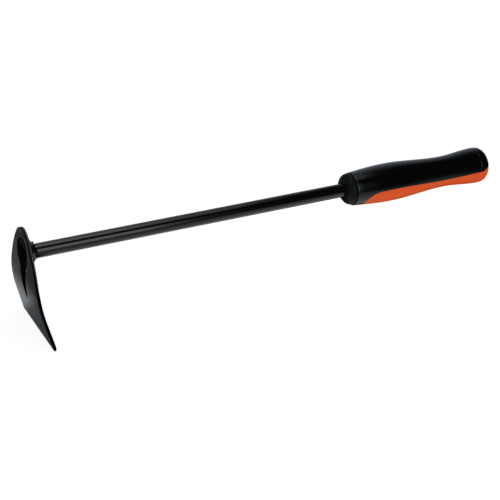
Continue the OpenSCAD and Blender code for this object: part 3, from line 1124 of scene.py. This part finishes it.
def glowMaterial(name):
    material = bpy.data.materials.new(name)
    material.use_nodes = True
    tree = material.node_tree
    tree.nodes.remove(tree.nodes["Principled BSDF"])
    coords = tree.nodes.new("ShaderNodeTexCoord")
    glow = tree.nodes.new("ShaderNodeEmission")
    tree.links.new(glow.outputs[0], tree.nodes["Material Output"].inputs["Surface"])
    return material, tree, axesOf(tree, coords.outputs["Object"]), glow


# One coordinate plus a share of the other
def skewed(tree, a, b, share):
    node = tree.nodes.new("ShaderNodeMath")
    node.operation = "MULTIPLY_ADD"
    node.inputs[1].default_value = share
    tree.links.new(b, node.inputs[0])
    tree.links.new(a, node.inputs[2])
    return node.outputs[0]


# Level that runs through the given pairs of place and level
def levelAlong(tree, value, stops):
    total = None
    for (start, low), (end, high) in zip(stops, stops[1:]):
        if total is None:
            total = slope(tree, value, start, end, low, high)
        else:
            total = combine(tree, "ADD", total, slope(tree, value, start, end, 0.0, high - low))
    return total


def fadeIn(tree, value, ends, level=1.0):
    return slope(tree, value, *ends, 0.0, level)


# Rises, holds and falls along a coordinate
def bandAlong(tree, value, start, full, fade, end, level):
    rise = fadeIn(tree, value, (start, full), level)
    return combine(tree, "MULTIPLY", rise, fadeIn(tree, value, (end, fade)))


# Fades in along one coordinate and along another, to a level where both are past their ends
def glowPatch(tree, a, aEnds, b, bEnds, level):
    return combine(tree, "MULTIPLY", fadeIn(tree, a, aEnds, level), fadeIn(tree, b, bEnds))


# Lays tints over white light, each by its own share
def tintLight(tree, glow, *layers):
    colour = None
    for tint, share in layers:
        layer = tree.nodes.new("ShaderNodeMix")
        layer.data_type = "RGBA"
        layer.inputs["A"].default_value = (1, 1, 1, 1)
        layer.inputs["B"].default_value = (*tint, 1)
        tree.links.new(share, layer.inputs["Factor"])
        if colour is not None:
            tree.links.new(colour, layer.inputs["A"])
        colour = layer.outputs["Result"]
    tree.links.new(colour, glow.inputs["Color"])


# What the blade reflects on one side of a slanting line, and what the shaft does on the other
def tentFloor(c):
    material, tree, (x, y, z), glow = glowMaterial("tentFloor")
    patch = glowPatch(tree, x, c["patchX"], y, c["patchY"], c["patch"])
    line = bandAlong(tree, skewed(tree, y, x, c["lineSkew"]), *c["lineAcross"], c["line"])
    share, middle = c["leanFrom"]
    leanStops = [(place - share * middle, level) for place, level in c["bladeLean"]]
    leaning = levelAlong(tree, skewed(tree, y, x, share), leanStops)
    bladeSide = combine(tree, "MINIMUM", levelAlong(tree, y, c["bladeSide"]), leaning)
    bladeSide = combine(tree, "ADD", bladeSide, combine(tree, "ADD", patch, line))
    shaftSide = levelAlong(tree, skewed(tree, y, x, c["shaftSkew"]), c["shaftSide"])
    shaftFade = slope(tree, skewed(tree, x, y, c["fadeSkew"]), *c["shaftFade"])
    shaftSide = combine(tree, "MULTIPLY", shaftSide, shaftFade)
    onShaft = fadeIn(tree, skewed(tree, x, y, c["bladeSlant"]), c["bladeEnds"])
    blend = tree.nodes.new("ShaderNodeMix")
    for label, value in (("Factor", onShaft), ("A", bladeSide), ("B", shaftSide)):
        tree.links.new(value, blend.inputs[label])
    rim = bandAlong(tree, x, *c["rimX"], c["rimGlow"])
    rim = combine(tree, "MULTIPLY", rim, fadeIn(tree, y, c["rimY"]))
    back = glowPatch(tree, x, c["backX"], y, c["backY"], c["backGlow"])
    front = fadeIn(tree, x, c["frontX"], c["frontGlow"])
    ends = combine(tree, "MAXIMUM", combine(tree, "MAXIMUM", rim, back), front)
    tree.links.new(combine(tree, "ADD", blend.outputs["Result"], ends), glow.inputs["Strength"])
    onBlade = fadeIn(tree, x, c["bladeEnds"][::-1])
    nearBlade = combine(tree, "MULTIPLY", onBlade, fadeIn(tree, y, c["nearBladeY"]))
    near = combine(tree, "MAXIMUM", fadeIn(tree, y, c["nearY"]), nearBlade)
    farOff = combine(tree, "MULTIPLY", onBlade, fadeIn(tree, y, c["farY"]))
    tintLight(tree, glow, (c["bladeTint"], onBlade), (c["nearTint"], near), (c["farTint"], farOff))
    return material


def tentDome(c):
    material, tree, (x, y, z), glow = glowMaterial("tentDome")
    level = levelAlong(tree, skewed(tree, y, x, c["domeSkew"]), c["domeSide"])
    level = combine(tree, "MULTIPLY", level, slope(tree, x, *c["farLeft"]))
    onFar = fadeIn(tree, y, c["domeY"])
    onNear = fadeIn(tree, y, c["domeY"][::-1])
    left = combine(tree, "MULTIPLY", fadeIn(tree, x, c["leftX"], c["leftGlow"]), onNear)
    gap = glowPatch(tree, x, c["gapX"], y, c["gapY"], c["gapGlow"])
    corner = glowPatch(tree, x, c["cornerX"], z, c["cornerZ"], c["cornerGlow"])
    glows = combine(tree, "MAXIMUM", combine(tree, "MAXIMUM", left, gap), corner)
    tree.links.new(combine(tree, "ADD", level, glows), glow.inputs["Strength"])
    tintLight(tree, glow, (c["leftTint"], onNear), (c["domeTint"], onFar))
    return material


makeFloor(studio)
makeTent(tent)
makeWorld(studio)
for name, setup in lamps.items():
    makeLamp(name, setup)

# Camera at the photograph's angle
view = {
    "place": (-574.9, -805.4, 384.8),
    "aim": (-168.5, 0.0, -39.1),
    "lens": 82.8,
    "sensor": 36.0,
    "clipStart": 0.01,
}
cameraData = bpy.data.cameras.new("photoView")
cameraData.sensor_fit = "HORIZONTAL"
cameraData.sensor_width = view["sensor"]
cameraData.lens = view["lens"]
cameraData.clip_start = view["clipStart"]
camera = bpy.data.objects.new("photoView", cameraData)
bpy.context.scene.collection.objects.link(camera)
camera.location = Vector(view["place"]) * mm
turnTo(camera, view["place"], view["aim"])
bpy.context.scene.camera = camera
bpy.context.scene.view_settings.view_transform = "Standard"
print("stage: studio and camera ready")
